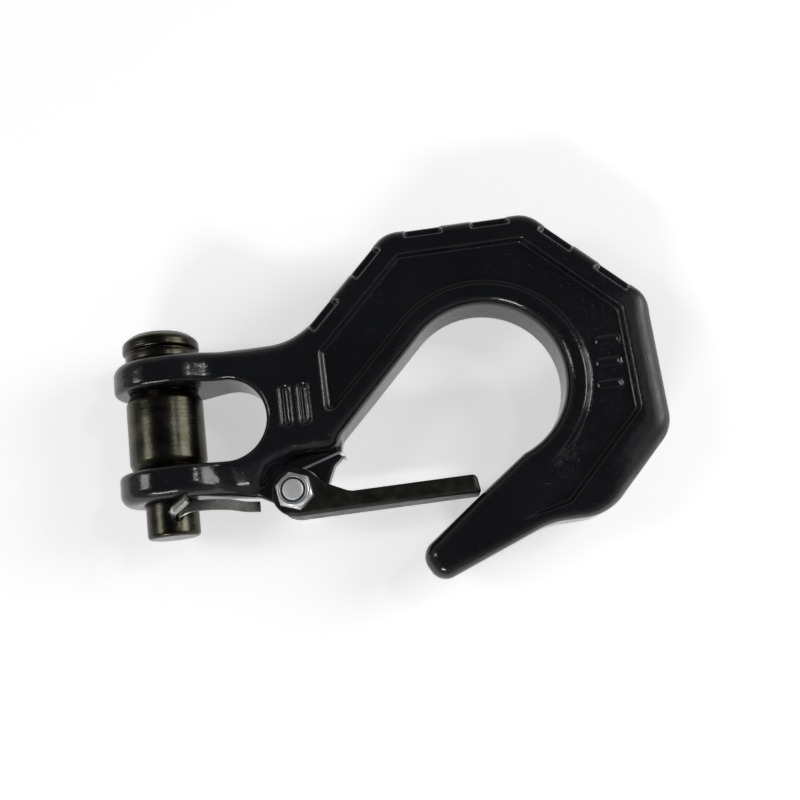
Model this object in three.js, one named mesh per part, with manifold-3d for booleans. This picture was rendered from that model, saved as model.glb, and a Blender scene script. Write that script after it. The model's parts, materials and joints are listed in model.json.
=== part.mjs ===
// Clevis slip hook for a safety chain or winch line, lying flat on its side.
// Millimetres, +Z up. Shapes are drawn in the pin frame: the clevis pin's axis is the Y axis, the
// shank runs along +X and the hook's mid-plane is z = 0. The finished group is then moved so that
// the origin is the centre of the base, with everything above z = 0.
import * as THREE from 'three';
import { mergeVertices } from 'three/addons/utils/BufferGeometryUtils.js';
import Module from 'manifold-3d';

const wasm = await Module();
wasm.setup();

// ---- Driving dimensions ----
const GAP = 0.3;                        // clearance between neighbouring pieces
const EAR_RADIUS = 12;                  // clevis ears, round about the pin
const EAR_FLAT = 3.8;                   // the ears' round side towards the bowl is set this far along
const SLOT_HALF = 10;                   // half the clevis gap, between the ears' spot faces
const ARM_RELIEF = 0.2;                 // the arms stand back this far from the spot faces
const SLOT_CENTRE_X = 16.3;             // centre of the slot's round end
const SHANK_HALF = 17.8;                // half the width over the ears
const PLATE_START = 8;                  // the body's plate begins inside the ears
const EAR_ROUND = 1.6;                  // rounding of the ears' outer edges
const BODY_HALF_THICKNESS = 8;
const EDGE_ROUND = 3;                   // rounding of the body's edges
const PIN_RADIUS = 6.35;
const PIN_END = -26.1;
const CROSS_HOLE_RADIUS = 2.3;
const CROSS_HOLE_Y = -20.8;
const PIN_TURN = 22;                    // degrees that the cross hole leans towards the bowl
const ROLLER_RADIUS = 9.4;
const COTTER_RADIUS = 1.8;
const BOWL = { x: 80, y: 1, radius: 19.9 };
const THROAT_ANGLE = 135;               // where the bowl's arc leaves the straight inner edge
const TOP_FACET = 42.9;                 // y of the top facet
const NOSE_FACET = 123.2;               // x of the facet furthest from the pin
const HEEL_FACET = -34.8;               // y of the facet beside the tip
const RISING_OFFSET = 17.5;             // rising facet: y = x - RISING_OFFSET
const FALLING_OFFSET = 140.1;           // falling facet: y = FALLING_OFFSET - x
const LOWER_OFFSET = 139.3;             // lower facet: y = x - LOWER_OFFSET
const TIP_OUTER = { x: 75, y: -40.8, slope: 0.384 };
const TIP_INNER = { x: 75, y: -26.2, slope: 0.716 };
const TIP_END = [[58.6, -37.9], [62.8, -45.5]];
const TIP_ROUND = 4.1;                  // rounding of both corners of the tip
const TIP_TAPER = 4.5;                  // degrees that each face falls towards the tip
const PANEL_DEPTH = 1.8;
const PANEL_LEFT = 41.3;
const RIM_WIDTH = 7.3;                   // the rim beside the panel, along three facets
const LOWER_RIM_WIDTH = 9.2;
const HEEL_RIM_WIDTH = 4.1;
const BEAD_WIDTH = 5.4;                  // between the panel and the throat or the bowl
const POCKET = { length: 9.8, spacing: 17, depth: 2.2, reach: 2.4 };
const PIVOT = { x: 31.4, y: -19.6 };    // latch bolt's axis, along Z
const LUG_HALF_THICKNESS = 2.6;
const LUG_RADIUS = 4.3;
const LATCH = { halfWidth: 5.8, sheet: 1.2, boss: 5.9, inner: -21, end: 75, wrap: 240 };
const BOLT_RADIUS = 2.5;
const BOLT_HEAD_HEIGHT = 3.4;
const BOLT_HEAD_TURN = 20;              // degrees
const NUT = { flats: 8, height: 4.9, ring: 3.3, turn: 40 };
const WIRE = 0.8;                       // latch spring wire
const COIL_RADIUS = 4.4;                // outside of the spring's coils
const ORIGIN = { x: 55.6, y: -0.7, z: -EAR_RADIUS };

const DEGREE = Math.PI / 180;
const ARC_STEP = 9;                     // degrees between points on a round stretch
const FAR = 200;                        // longer than anything that a cutter passes through

// ---- Tools ----
function solid(geometry) {
  const bare = geometry.index ? geometry.toNonIndexed() : geometry.clone();
  bare.deleteAttribute('normal');
  bare.deleteAttribute('uv');
  const merged = mergeVertices(bare, 1e-4);
  return new wasm.Manifold(new wasm.Mesh({
    numProp: 3,
    vertProperties: new Float32Array(merged.attributes.position.array),
    triVerts: new Uint32Array(merged.index.array),
  }));
}

function geometryOf(body) {
  const mesh = body.getMesh();
  const geometry = new THREE.BufferGeometry();
  geometry.setAttribute('position', new THREE.BufferAttribute(new Float32Array(mesh.vertProperties), 3));
  geometry.setIndex(new THREE.BufferAttribute(new Uint32Array(mesh.triVerts), 1));
  return geometry;
}

function joined(geometries) {
  return geometries.map(solid).reduce((whole, body) => whole.add(body));
}

function cut(body, geometries) {
  return geometries.map(solid).reduce((whole, cutter) => whole.subtract(cutter), body);
}

// A closed outline through corners [x, y, radius] and arcs {x, y, radius, from, to}, in degrees. Its
// round stretches are drawn with a point about every ARC_STEP degrees.
function outline(entries, step = ARC_STEP) {
  const points = entries.flatMap((entry, i) => {
    if (!Array.isArray(entry)) return arc(entry, step);
    const before = entries[(i + entries.length - 1) % entries.length];
    const after = entries[(i + 1) % entries.length];
    return rounded(endOf(before, 'to'), entry, endOf(after, 'from'), step);
  });
  const apart = points.filter((point, i) => point.distanceTo(points[(i + 1) % points.length]) > 0.01);
  return new THREE.Shape(apart);
}

function onCircle({ x, y, radius }, degrees) {
  return new THREE.Vector2(x + radius * Math.cos(degrees * DEGREE), y + radius * Math.sin(degrees * DEGREE));
}

function arc({ from, to, ...round }, step) {
  const count = Math.max(2, Math.round(Math.abs(to - from) / step));
  return Array.from({ length: count + 1 }, (_, i) => onCircle(round, from + (to - from) * (i / count)));
}

function endOf(entry, end) {
  return Array.isArray(entry) ? new THREE.Vector2(entry[0], entry[1]) : onCircle(entry, entry[end]);
}

function rounded(before, [x, y, radius = 0], after, step) {
  const corner = new THREE.Vector2(x, y);
  if (!radius) return [corner];
  const back = before.sub(corner).normalize();
  const on = after.sub(corner).normalize();
  const half = Math.acos(back.dot(on)) / 2;
  const centre = back.clone().add(on).setLength(radius / Math.sin(half));
  const reach = radius / Math.tan(half);
  const from = back.clone().multiplyScalar(reach).sub(centre).angle() / DEGREE;
  const turn = (180 - 2 * half / DEGREE) * Math.sign(on.cross(back));
  return arc({ x: x + centre.x, y: y + centre.y, radius, from, to: from + turn }, step);
}

// An outline raised between two heights, its edges rounded off inside the outline.
function prism(shape, low, high, { round = 0, steps = 3 } = {}) {
  const geometry = new THREE.ExtrudeGeometry(shape, {
    depth: high - low - 2 * round,
    bevelEnabled: round > 0,
    bevelThickness: round,
    bevelSize: round,
    bevelOffset: -round,
    bevelSegments: steps,
    curveSegments: 24,
  });
  return geometry.translate(0, 0, low + round);
}

function circle(x, y, radius, step = ARC_STEP) {
  return outline([{ x, y, radius, from: 0, to: 360 }], step);
}

// A round bar on the latch's pivot.
function onPivot(radius, low, high) {
  return prism(circle(PIVOT.x, PIVOT.y, radius, 12), low, high);
}

function box(x0, x1, y0, y1, z0, z1) {
  const geometry = new THREE.BoxGeometry(x1 - x0, y1 - y0, z1 - z0);
  return geometry.translate((x0 + x1) / 2, (y0 + y1) / 2, (z0 + z1) / 2);
}

// A turned piece about the Y axis, from [radius, y] points.
function turned(profile, segments = 40) {
  return new THREE.LatheGeometry(profile.map(([radius, y]) => new THREE.Vector2(radius, y)), segments);
}

// A round rod along a smooth path through points.
function rod(points, radius, steps, sides = 10) {
  const path = new THREE.CatmullRomCurve3(points.map((point) => new THREE.Vector3(...point)));
  return new THREE.ExtrudeGeometry(circle(0, 0, radius, 360 / sides), {
    steps, bevelEnabled: false, extrudePath: path,
  });
}

// The crossing of a facet y = a x + b with another.
function crossing(first, second) {
  const x = (second.b - first.b) / (first.a - second.a);
  return [x, first.a * x + first.b];
}

// The same facet moved a distance inwards, which is down (1) or up (-1) the page.
function inset({ a, b }, distance, side) {
  return { a, b: b - side * distance * Math.hypot(1, a) };
}

function throughPoint({ x, y, slope }) {
  return { a: slope, b: y - slope * x };
}

// ---- Hook body: one forging ----
const FACETS = {
  rising: { a: 1, b: -RISING_OFFSET },
  top: { a: 0, b: TOP_FACET },
  falling: { a: -1, b: FALLING_OFFSET },
  lower: { a: 1, b: -LOWER_OFFSET },
  heel: { a: 0, b: HEEL_FACET },
  tipOuter: throughPoint(TIP_OUTER),
  tipInner: throughPoint(TIP_INNER),
};

// Where the tip's inner edge meets the bowl's circle, as an angle about the bowl's centre.
function tipAngle({ a, b }, radius) {
  const height = a * BOWL.x + b - BOWL.y;
  const half = 1 + a * a;
  const root = Math.sqrt(a * a * height * height - half * (height * height - radius * radius));
  const x = (-a * height - root) / half;
  return Math.atan2(height + a * x, x) / DEGREE;
}

// The shoulder where the full thickness ends above the lug.
const SHOULDER = [
  [22, -18.8, 3.4], [25.8, -13, 3], [31.4, -10.8, 3], [42.2, -10.4, 3.3], [43.7, -7.1, 3],
];

function bodyOutline() {
  const edge = SHANK_HALF - 0.3;
  return outline([
    [PLATE_START, edge],
    [PLATE_START, -edge],
    ...SHOULDER,
    { ...BOWL, from: THROAT_ANGLE, to: tipAngle(FACETS.tipInner, BOWL.radius) },
    [...TIP_END[0], TIP_ROUND],
    [...TIP_END[1], TIP_ROUND],
    [...crossing(FACETS.tipOuter, FACETS.heel), 20],
    [...crossing(FACETS.heel, FACETS.lower), 14],
    [NOSE_FACET, NOSE_FACET - LOWER_OFFSET, 9],
    [NOSE_FACET, FALLING_OFFSET - NOSE_FACET, 8],
    [...crossing(FACETS.falling, FACETS.top), 8],
    [...crossing(FACETS.top, FACETS.rising), 8],
    [edge + RISING_OFFSET, edge, 16],
  ]);
}

// The thin lug that the latch straddles, with a corner that the latch spring hooks over.
function lugOutline() {
  return outline([
    [16, -12],
    [16, -17.5],
    [21.5, -18.8, 8],
    { ...PIVOT, radius: LUG_RADIUS, from: 232, to: 318 },
    [38.8, -18.7, 2],
    [41, -13.8, 2],
    [43, -12.2, 0.8],
    [43.2, -8, 1],
    [38, -5],
  ]);
}

// The panel sunk into both faces of the bowl's wall, between the rim and the bead.
function panelOutline() {
  const rising = inset(FACETS.rising, RIM_WIDTH, 1);
  const top = inset(FACETS.top, RIM_WIDTH, 1);
  const falling = inset(FACETS.falling, RIM_WIDTH, 1);
  const lower = inset(FACETS.lower, LOWER_RIM_WIDTH, -1);
  const heel = inset(FACETS.heel, HEEL_RIM_WIDTH, -1);
  const nose = NOSE_FACET - RIM_WIDTH;
  const throat = THROAT_ANGLE * DEGREE;
  const bead = { ...BOWL, radius: BOWL.radius + BEAD_WIDTH };
  const straight = bead.y - bead.x + bead.radius * (Math.sin(throat) - Math.cos(throat));
  return outline([
    [PANEL_LEFT, PANEL_LEFT + straight],
    { ...bead, from: THROAT_ANGLE, to: -70 },
    [79.5, -28.6, 1],
    [81.5, -33, 1],
    [...crossing(lower, heel), 3],
    [nose, lower.a * nose + lower.b, 1],
    [nose, falling.a * nose + falling.b, 1],
    [...crossing(falling, top), 1],
    [...crossing(top, rising), 1],
    [PANEL_LEFT, PANEL_LEFT + rising.b, 1],
  ]);
}

// Both ears seen from the side: round about the pin, and drawn out a little towards the bowl.
function earOutline() {
  const half = BODY_HALF_THICKNESS - 0.1;
  const meet = Math.asin(half / EAR_RADIUS) / DEGREE;
  return outline([
    { x: EAR_FLAT, y: 0, radius: EAR_RADIUS, from: meet, to: 90 },
    { x: 0, y: 0, radius: EAR_RADIUS, from: 90, to: 270 },
    { x: EAR_FLAT, y: 0, radius: EAR_RADIUS, from: 270, to: 360 - meet },
  ]);
}

function ears() {
  const side = prism(earOutline(), -SHANK_HALF, SHANK_HALF, { round: EAR_ROUND, steps: 2 });
  return side.rotateX(Math.PI / 2);
}

function slotOutline() {
  const half = SLOT_HALF + ARM_RELIEF;
  const spot = EAR_RADIUS + 0.6;
  return outline([
    [-FAR, SLOT_HALF],
    [-FAR, -SLOT_HALF],
    [spot, -SLOT_HALF],
    [spot, -half],
    { x: SLOT_CENTRE_X, y: 0, radius: half, from: -90, to: 90 },
    [spot, half],
    [spot, SLOT_HALF],
  ]);
}

// Notches along the rim's edge, in pairs on three facets, on both faces.
function pockets() {
  const rimStarts = [
    { start: [SHANK_HALF + RISING_OFFSET, SHANK_HALF], end: crossing(FACETS.rising, FACETS.top) },
    { start: crossing(FACETS.rising, FACETS.top), end: crossing(FACETS.top, FACETS.falling) },
    { start: crossing(FACETS.top, FACETS.falling), end: [NOSE_FACET, FALLING_OFFSET - NOSE_FACET] },
  ];
  const cutters = [];
  for (const { start, end } of rimStarts) {
    const angle = Math.atan2(end[1] - start[1], end[0] - start[0]);
    for (const along of [-0.5, 0.5]) {
      for (const face of [-1, 1]) {
        const floor = face * (BODY_HALF_THICKNESS - POCKET.depth);
        const x = along * POCKET.spacing;
        const half = POCKET.length / 2;
        const [low, high] = [floor, face * FAR].sort((a, b) => a - b);
        const notch = box(x - half, x + half, -POCKET.reach, 5, low, high);
        notch.rotateZ(angle);
        cutters.push(notch.translate((start[0] + end[0]) / 2, (start[1] + end[1]) / 2, 0));
      }
    }
  }
  return cutters;
}

// Wedges that thin the tip on both faces, falling away from the bowl towards its end.
function tipWedges() {
  const direction = Math.atan(TIP_INNER.slope);
  return [-1, 1].map((face) => {
    const wedge = box(-FAR, 0, -FAR / 4, FAR / 4, 0, FAR / 4);
    wedge.rotateY(-TIP_TAPER * DEGREE);
    if (face < 0) wedge.rotateX(Math.PI);
    wedge.rotateZ(direction);
    return wedge.translate(92, -30, face * BODY_HALF_THICKNESS);
  });
}

// A pair of ring-shaped grooves on each face of the shank, each round an inner ridge.
function shankMarks() {
  return [31.4, 35.9].flatMap((x) => [-1, 1].map((face) => {
    const ring = stadium(x, 1.4, 1.5, 4.8);
    ring.holes.push(stadium(x, 1.4, 0.6, 3.9));
    const top = face * BODY_HALF_THICKNESS;
    return prism(ring, top - 0.7, top + 0.7);
  }));
}

function stadium(x, y, halfWidth, halfLength) {
  const straight = halfLength - halfWidth;
  return outline([
    { x, y: y + straight, radius: halfWidth, from: 0, to: 180 },
    { x, y: y - straight, radius: halfWidth, from: 180, to: 360 },
  ]);
}

// Plain raised bars on the panel beside the nose facet.
function panelBars() {
  return [-1, 0, 1].flatMap((step) => [-1, 1].map((face) => {
    const bar = box(-2.4, 2.4, -0.9, 0.9, -0.5, 0.5);
    bar.translate(110.6 + 1.9 * step, 1.6 + 6 * step, face * (BODY_HALF_THICKNESS - PANEL_DEPTH));
    return bar;
  }));
}

function hookBody() {
  const plate = prism(bodyOutline(), -BODY_HALF_THICKNESS, BODY_HALF_THICKNESS, { round: EDGE_ROUND });
  const panels = [-1, 1].map((face) => {
    const floor = face * (BODY_HALF_THICKNESS - PANEL_DEPTH);
    return prism(panelOutline(), Math.min(floor, face * FAR), Math.max(floor, face * FAR));
  });
  const pinBore = new THREE.CylinderGeometry(PIN_RADIUS + GAP, PIN_RADIUS + GAP, FAR, 40);
  const lug = prism(lugOutline(), -LUG_HALF_THICKNESS, LUG_HALF_THICKNESS);
  return cut(joined([plate, ears(), lug]), [
    prism(slotOutline(), -FAR, FAR),
    pinBore,
    onPivot(BOLT_RADIUS + GAP, -FAR, FAR),
    ...panels,
    ...pockets(),
    ...tipWedges(),
    ...shankMarks(),
  ]).add(joined(panelBars()));
}

// ---- Clevis pin, roller and split pin ----
function clevisPin() {
  const body = turned([
    [0, PIN_END], [PIN_RADIUS - 1.4, PIN_END], [PIN_RADIUS - 0.4, PIN_END + 0.4], [PIN_RADIUS, PIN_END + 1.4],
    [PIN_RADIUS, SHANK_HALF + GAP], [8.8, SHANK_HALF + GAP], [8.8, 19.8], [9.4, 20.8], [9.5, 22],
    [9.4, 23.2], [8.7, 24.3], [7.2, 25], [3.8, 25.4], [0, 25.5],
  ], 48);
  const hole = new THREE.CylinderGeometry(CROSS_HOLE_RADIUS, CROSS_HOLE_RADIUS, 40, 24);
  hole.rotateX(Math.PI / 2).rotateY(PIN_TURN * DEGREE).translate(0, CROSS_HOLE_Y, 0);
  return cut(solid(body), [hole]);
}

function pinRoller() {
  const end = SLOT_HALF - GAP;
  const bore = PIN_RADIUS + GAP;
  return solid(turned([
    [bore, -end], [ROLLER_RADIUS - 0.9, -end], [ROLLER_RADIUS, -end + 2.1], [ROLLER_RADIUS, end - 2.1],
    [ROLLER_RADIUS - 0.9, end], [bore, end], [bore, -end],
  ], 48));
}

// Drawn with the cross hole upright, then turned with the pin.
function splitPin() {
  const y = CROSS_HOLE_Y;
  const eye = new THREE.TorusGeometry(2.1, 0.85, 8, 20);
  eye.scale(1, 1, 1.6).rotateX(Math.PI / 2).translate(0, y, -9);
  const legs = [
    rod([[0, y, -7.2], [0, y, 0], [0, y, 6.6]], COTTER_RADIUS, 4),
    rod([[0, y, 5.8], [0.1, y, 8], [1.3, y + 0.7, 10.2], [2.6, y + 1.7, 12.2]], 0.95, 10, 8),
    rod([
      [0, y, 5.6], [0.8, y + 0.4, 7.6], [3, y + 1.1, 8.5], [7.5, y + 1.2, 8.6], [13, y + 0.6, 8.5],
      [16.5, y - 0.2, 8.3], [20, y - 0.3, 8.2],
    ], 0.95, 26, 8),
  ];
  return solid(geometryOf(joined([eye, ...legs])).rotateY(PIN_TURN * DEGREE));
}

// ---- Latch: a pressed channel straddling the lug ----
function latchSide() {
  const { boss, inner, end } = LATCH;
  const web = PIVOT.y - boss;
  return outline([
    { ...PIVOT, radius: boss, from: 46, to: 270 },
    [end, web, 0.5],
    [end - 0.5, inner, 1.4],
    [44.2, inner, 5],
    [38.4, -18.2, 8],
  ]);
}

// The space inside the channel. The web follows the boss a little way round.
function latchHollow() {
  const { boss, sheet, wrap } = LATCH;
  const inside = { ...PIVOT, radius: boss - sheet, from: wrap, to: 270 };
  const webStart = endOf(inside, 'from').x;
  return outline([
    [PIVOT.x - 10, -FAR],
    [webStart, -FAR],
    inside,
    [FAR, PIVOT.y - boss + sheet],
    [FAR, 0],
    [PIVOT.x - 10, 0],
  ]);
}

function latch() {
  const { halfWidth, sheet } = LATCH;
  return cut(solid(prism(latchSide(), -halfWidth, halfWidth)), [
    prism(latchHollow(), sheet - halfWidth, halfWidth - sheet),
    onPivot(BOLT_RADIUS + GAP, -FAR, FAR),
  ]);
}

// ---- Latch bolt, lock nut and its nylon ring ----
function latchBolt() {
  const under = -LATCH.halfWidth - GAP;
  const end = LATCH.halfWidth + GAP + NUT.height + 0.5;
  const head = new THREE.CylinderGeometry(hexRadius(NUT.flats), hexRadius(NUT.flats), BOLT_HEAD_HEIGHT, 6);
  head.rotateX(Math.PI / 2).rotateZ(BOLT_HEAD_TURN * DEGREE);
  head.translate(PIVOT.x, PIVOT.y, under - BOLT_HEAD_HEIGHT / 2);
  return joined([head, onPivot(BOLT_RADIUS, under - 0.5, end)]);
}

function hexRadius(flats) {
  return flats / Math.sqrt(3);
}

function latchNut() {
  const low = LATCH.halfWidth + GAP;
  const flange = low + NUT.height - 1.6;
  const hex = new THREE.CylinderGeometry(hexRadius(NUT.flats), hexRadius(NUT.flats), flange - low, 6);
  hex.rotateX(Math.PI / 2).rotateZ(NUT.turn * DEGREE).translate(PIVOT.x, PIVOT.y, (low + flange) / 2);
  const collar = onPivot(NUT.ring + 0.45, flange - 0.4, low + NUT.height);
  return cut(joined([hex, collar]), [
    onPivot(BOLT_RADIUS + GAP, -FAR, FAR),
    onPivot(NUT.ring + 0.05, flange, FAR),
  ]);
}

function nylonRing() {
  const low = LATCH.halfWidth + GAP + NUT.height - 1.6;
  const ring = circle(PIVOT.x, PIVOT.y, NUT.ring - 0.1);
  ring.holes.push(circle(PIVOT.x, PIVOT.y, BOLT_RADIUS + 0.15));
  return solid(prism(ring, low + 0.15, low + 1.3));
}

// ---- Latch spring: a coil on each side of the lug, joined by a bridge over the lug's corner ----
function latchSpring() {
  const inner = LUG_HALF_THICKNESS + GAP;
  const outer = LATCH.halfWidth - LATCH.sheet - GAP;
  const near = inner + WIRE / 2;
  const far = outer - WIRE / 2;
  const top = PIVOT.y + COIL_RADIUS - WIRE / 2;
  const legRadius = WIRE / 2 - 0.04;
  const pieces = [];
  for (const face of [-1, 1]) {
    const coil = circle(PIVOT.x, PIVOT.y, COIL_RADIUS);
    coil.holes.push(circle(PIVOT.x, PIVOT.y, COIL_RADIUS - WIRE));
    const [low, high] = [face * inner, face * outer].sort((a, b) => a - b);
    const hookLeg = [[PIVOT.x - 1, top, near], [36.6, -12.9, near], [41.6, -11.3, near], [44, -11.6, near]];
    const latchLeg = [[PIVOT.x, top, far], [35, -15.4, far], [38.4, -18.2, far], [44, -23.5, far]];
    pieces.push(prism(coil, low, high));
    pieces.push(rod(hookLeg.map(([x, y, z]) => [x, y, face * z]), legRadius, 14, 8));
    pieces.push(rod(latchLeg.map(([x, y, z]) => [x, y, face * z]), legRadius, 10, 8));
  }
  const bridge = new THREE.CylinderGeometry(legRadius, legRadius, 2 * near, 10);
  pieces.push(bridge.rotateX(Math.PI / 2).translate(44, -11.6, 0));
  return joined(pieces);
}

// ---- The assembly ----
const black = [0x141517, 0.28, 0.2];
const darkSteel = [0x4b4a44, 0.35, 0.85];
const phosphate = [0x2e2d25, 0.5, 0.5];
const zinc = [0xb4b6b4, 0.3, 0.9];

const pieces = [
  ['hook_body', hookBody(), black],
  ['clevis_pin', clevisPin(), darkSteel],
  ['pin_roller', pinRoller(), darkSteel],
  ['split_pin', splitPin(), zinc],
  ['latch', latch(), phosphate],
  ['latch_bolt', latchBolt(), zinc],
  ['latch_nut', latchNut(), zinc],
  ['nylon_ring', nylonRing(), [0x5f87b8, 0.5, 0]],
  ['latch_spring', latchSpring(), zinc],
];

const hook = new THREE.Group();
for (const [name, body, [color, roughness, metalness]] of pieces) {
  const material = new THREE.MeshStandardMaterial({ color, roughness, metalness });
  const mesh = new THREE.Mesh(geometryOf(body), material);
  mesh.name = name;
  hook.add(mesh);
}
hook.position.set(-ORIGIN.x, -ORIGIN.y, -ORIGIN.z);

export default hook;
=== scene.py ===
"""The look of a clevis slip hook lying on its side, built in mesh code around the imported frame.

Shapes are drawn in millimetres in the pin frame: the clevis pin's axis is Y through the origin, the
shank runs along +X and z = 0 is the hook's mid-plane. to_row() moves them into the frame, in metres.
"""

import json
import math

import bpy
import numpy as np
from mathutils import Matrix, Vector


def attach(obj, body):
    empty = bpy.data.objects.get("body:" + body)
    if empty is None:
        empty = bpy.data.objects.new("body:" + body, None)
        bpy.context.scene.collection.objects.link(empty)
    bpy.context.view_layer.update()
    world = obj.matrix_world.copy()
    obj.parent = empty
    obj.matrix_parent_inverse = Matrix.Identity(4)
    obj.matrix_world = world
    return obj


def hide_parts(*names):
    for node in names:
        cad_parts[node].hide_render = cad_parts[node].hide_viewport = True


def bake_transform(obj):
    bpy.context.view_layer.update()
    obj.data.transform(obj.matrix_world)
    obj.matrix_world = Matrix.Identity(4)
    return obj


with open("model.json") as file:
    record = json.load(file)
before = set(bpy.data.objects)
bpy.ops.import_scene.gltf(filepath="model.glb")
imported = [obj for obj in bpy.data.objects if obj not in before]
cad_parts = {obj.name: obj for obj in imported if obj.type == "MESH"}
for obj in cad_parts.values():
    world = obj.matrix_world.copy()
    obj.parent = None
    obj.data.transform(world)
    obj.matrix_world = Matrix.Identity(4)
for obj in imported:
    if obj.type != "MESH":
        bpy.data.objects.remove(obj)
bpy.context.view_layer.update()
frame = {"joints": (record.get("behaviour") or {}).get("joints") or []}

MM = 0.001
DEGREE = math.pi / 180


def joint_place(name):
    return Vector(next(joint for joint in frame["joints"] if joint["name"] == name)["pos_m"])


PIN_AXIS = joint_place("pin_turn")
PIVOT = (joint_place("latch_swing") - PIN_AXIS) / MM


def to_row(points):
    """Pin-frame millimetres to metres in the frame."""
    return np.asarray(points, float) * MM + np.array(PIN_AXIS)


def link_mesh(name, points, faces):
    """A smooth-shaded object from pin-frame points."""
    mesh = bpy.data.meshes.new(name)
    mesh.from_pydata(to_row(points).tolist(), [], faces)
    mesh.validate()
    mesh.update()
    mesh.shade_smooth()
    obj = bpy.data.objects.new(name, mesh)
    bpy.context.scene.collection.objects.link(obj)
    return obj


def add_mesh(name, points, faces, body, node_name):
    """A piece that rides on one body and is seen in place of one CAD node."""
    obj = link_mesh(name, points, faces)
    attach(obj, body)
    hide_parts(node_name)
    return obj


# ---------------------------------------------------------------- outlines
ARC_STEP = 2.5      # degrees between the points of an arc


def arc_points(cx, cy, radius, start, end):
    count = max(3, int(round(abs(end - start) / ARC_STEP)))
    angles = np.radians(np.linspace(start, end, count + 1))
    return np.c_[cx + radius * np.cos(angles), cy + radius * np.sin(angles)]


def outline(entries):
    """A closed polyline through corners (x, y, radius) and arcs (x, y, radius, from, to) in degrees."""
    def end_of(entry, which):
        if len(entry) < 5:
            return np.array(entry[:2], float)
        angle = math.radians(entry[3 + which])
        return np.array([entry[0] + entry[2] * math.cos(angle), entry[1] + entry[2] * math.sin(angle)])

    points = []
    for i, entry in enumerate(entries):
        if len(entry) == 5:
            points.append(arc_points(*entry))
            continue
        corner = np.array(entry[:2], float)
        radius = entry[2] if len(entry) > 2 else 0
        if not radius:
            points.append(corner[None])
            continue
        back = end_of(entries[i - 1], 1) - corner
        on = end_of(entries[(i + 1) % len(entries)], 0) - corner
        back /= np.linalg.norm(back)
        on /= np.linalg.norm(on)
        half = math.acos(np.clip(back @ on, -1, 1)) / 2
        middle = back + on
        centre = corner + middle / np.linalg.norm(middle) * radius / math.sin(half)
        first = corner + back * radius / math.tan(half) - centre
        start = math.degrees(math.atan2(first[1], first[0]))
        turn = (180 - 2 * math.degrees(half)) * np.sign(on[0] * back[1] - on[1] * back[0])
        points.append(arc_points(*centre, radius, start, start + turn))
    points = np.concatenate(points)
    apart = np.linalg.norm(points - np.roll(points, -1, axis=0), axis=1) > 0.01
    return points[apart]


def distance(polygon, x, y):
    """Signed distance to a closed polyline, negative inside."""
    x, y = np.broadcast_arrays(x, y)
    px, py = x.ravel().astype(float), y.ravel().astype(float)
    best = np.full(px.shape, 1e9)
    inside = np.zeros(px.shape, bool)
    ends = np.roll(polygon, -1, axis=0)
    for (ax, ay), (bx, by) in zip(polygon, ends):
        ex, ey = bx - ax, by - ay
        wx, wy = px - ax, py - ay
        t = np.clip((wx * ex + wy * ey) / (ex * ex + ey * ey), 0, 1)
        dx, dy = wx - ex * t, wy - ey * t
        np.minimum(best, dx * dx + dy * dy, out=best)
        if ay != by:
            crosses = (ay > py) != (by > py)
            inside ^= crosses & (px < ax + ex * (py - ay) / ey)
    return (np.where(inside, -1, 1) * np.sqrt(best)).reshape(x.shape)


def crossing(first, second):
    """Where two lines cross, each given as (slope, height at x = 0)."""
    x = (second[1] - first[1]) / (first[0] - second[0])
    return x, first[0] * x + first[1]


def inset(line, gap, side):
    """A line moved down by a perpendicular gap for side 1, or up for side -1."""
    return line[0], line[1] - side * gap * math.hypot(1, line[0])


# ---------------------------------------------------------------- the hook body's outlines
EAR_RADIUS = 12.0
EAR_FLAT = 3.8              # the ears' round side towards the bowl is set this far along
EAR_FACE = 17.8             # half the width over the ears
PLATE_START = 5.0           # where the body's plate begins inside the ears
PIN_BORE = 6.55
SLOT_HALF = 10.05
SLOT_CENTRE = 16.3          # x of the middle of the slot's round end
HALF = 8.0                  # half the body's thickness
BOWL = (80.0, 1.0, 19.9)    # x, y, radius
THROAT = 135.0              # degrees round the bowl to its straight inner edge
NOSE = 123.2                # x of the facet furthest from the pin

# The straight sides of the outline, each as (slope, height at x = 0).
RISING, FALLING, LOWER = (1.0, -17.5), (-1.0, 140.1), (1.0, -139.3)
TOP_LINE, HEEL_LINE = (0.0, 42.9), (0.0, -34.8)
TIP_OUTER = (0.384, -69.6)
TIP_INNER = (0.716, -79.9)
TIP_DIRECTION = math.atan(TIP_INNER[0])
TIP_FALL = 0.0787           # slope of the tip's two faces towards its end


def tip_angle():
    """Degrees round the bowl to where the tip's inner side leaves it."""
    height = TIP_INNER[0] * BOWL[0] + TIP_INNER[1] - BOWL[1]
    a = TIP_INNER[0]
    half = 1 + a * a
    root = math.sqrt(a * a * height * height - half * (height * height - BOWL[2] ** 2))
    x = (-a * height - root) / half
    return math.degrees(math.atan2(height + a * x, x))


BODY = outline([
    (-30, EAR_FACE), (-30, -EAR_FACE), (9, -17.7, 20),
    (22, -18.9, 3.4), (25.7, -13.1, 3), (31.4, -10.8, 3.4), (42.2, -10.4, 3.4), (43.7, -7.1, 4),
    (*BOWL, THROAT, tip_angle()),
    (58.6, -37.9, 4.3), (62.8, -45.5, 4.1),
    (*crossing(TIP_OUTER, HEEL_LINE), 20),
    (*crossing(HEEL_LINE, LOWER), 14),
    (NOSE, NOSE + LOWER[1], 9),
    (NOSE, FALLING[1] - NOSE, 8),
    (*crossing(FALLING, TOP_LINE), 8),
    (*crossing(TOP_LINE, RISING), 8),
    (EAR_FACE - RISING[1], EAR_FACE, 16),
])

SLOT = outline([
    (-40, SLOT_HALF), (-40, -SLOT_HALF), (SLOT_CENTRE, 0, SLOT_HALF, -90, 90),
])

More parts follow.
